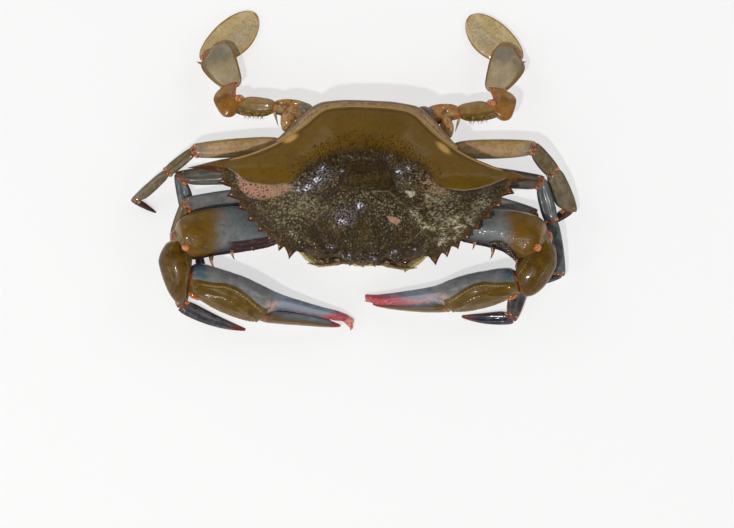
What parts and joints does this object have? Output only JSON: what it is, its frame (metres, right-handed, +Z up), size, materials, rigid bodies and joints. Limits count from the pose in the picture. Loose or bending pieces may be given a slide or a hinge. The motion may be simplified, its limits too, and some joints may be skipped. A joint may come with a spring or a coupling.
{
  "type": "blue swimming crab",
  "caption": "Still life-size blue swimming crab with toothed shell, side spines, two claws, walking legs and oval paddles, lying on its belly.",
  "frame": {"origin": "centre of the whole animal's box at floor level, on which the belly plate, the palms, the leg tips and the paddles rest", "axes": "+Z up through the back, -Y the way the face looks, +X towards the crab's own left side, along its widest stretch"},
  "size_m": [0.1532, 0.1124, 0.0304],
  "materials": {
    "olive_shell": "semi-gloss wet olive-brown shell, granular in front and smooth behind",
    "blue_shell": "glossy blue-grey shell with olive patches",
    "claw_finger": "glossy blue-grey to pink-red claw finger",
    "leg_shell": "glossy grey-olive leg shell with darker edges",
    "dark_blue_shell": "very dark glossy blue-black leg tip with orange rims",
    "swimmer_shell": "glossy translucent tan and grey shell with an orange-brown rim",
    "paddle_shell": "thin translucent tan paddle with an orange-brown rim and fine fringe",
    "cream_plate": "smooth cream-white shell plate",
    "joint_orange": "glossy orange to red joint condyle or membrane",
    "spine_red": "glossy red-brown spine with an amber tip",
    "bristle": "fine tan-brown bristles",
    "eye": "wet dark eye",
    "feeler": "thin olive-tan feeler"
  },
  "bodies": {
    "root": {"abdomen": "cream_plate", "antenna_l": "feeler", "antenna_r": "feeler", "carapace": "olive_shell", "claw_l_base": "cream_plate", "claw_l_carpus": "olive_shell", "claw_l_dactyl": "claw_finger", "claw_l_merus": "blue_shell", "claw_l_propodus": "blue_shell", "claw_r_base": "cream_plate", "claw_r_carpus": "olive_shell", "claw_r_dactyl": "claw_finger", "claw_r_merus": "blue_shell", "claw_r_propodus": "blue_shell", "eye_l": "eye", "eye_r": "eye", "face": "cream_plate", "leg2_l_base": "cream_plate", "leg2_l_carpus": "leg_shell", "leg2_l_dactyl": "dark_blue_shell", "leg2_l_merus": "leg_shell", "leg2_l_propodus": "leg_shell", "leg2_r_base": "cream_plate", "leg2_r_carpus": "leg_shell", "leg2_r_dactyl": "dark_blue_shell", "leg2_r_merus": "leg_shell", "leg2_r_propodus": "leg_shell", "leg3_l_base": "cream_plate", "leg3_l_carpus": "leg_shell", "leg3_l_dactyl": "dark_blue_shell", "leg3_l_merus": "leg_shell", "leg3_l_propodus": "leg_shell", "leg3_r_base": "cream_plate", "leg3_r_carpus": "leg_shell", "leg3_r_dactyl": "dark_blue_shell", "leg3_r_merus": "leg_shell", "leg3_r_propodus": "leg_shell", "leg4_l_base": "cream_plate", "leg4_l_carpus": "leg_shell", "leg4_l_dactyl": "dark_blue_shell", "leg4_l_merus": "leg_shell", "leg4_l_propodus": "leg_shell", "leg4_r_base": "cream_plate", "leg4_r_carpus": "leg_shell", "leg4_r_dactyl": "dark_blue_shell", "leg4_r_merus": "leg_shell", "leg4_r_propodus": "leg_shell", "maxilliped_l": "cream_plate", "maxilliped_r": "cream_plate", "swimmer_l_base": "cream_plate", "swimmer_l_carpus": "swimmer_shell", "swimmer_l_merus": "swimmer_shell", "swimmer_l_paddle": "paddle_shell", "swimmer_l_propodus": "swimmer_shell", "swimmer_r_base": "cream_plate", "swimmer_r_carpus": "swimmer_shell", "swimmer_r_merus": "swimmer_shell", "swimmer_r_paddle": "paddle_shell", "swimmer_r_propodus": "swimmer_shell", "thorax": "cream_plate"}
  },
  "joints": []
}
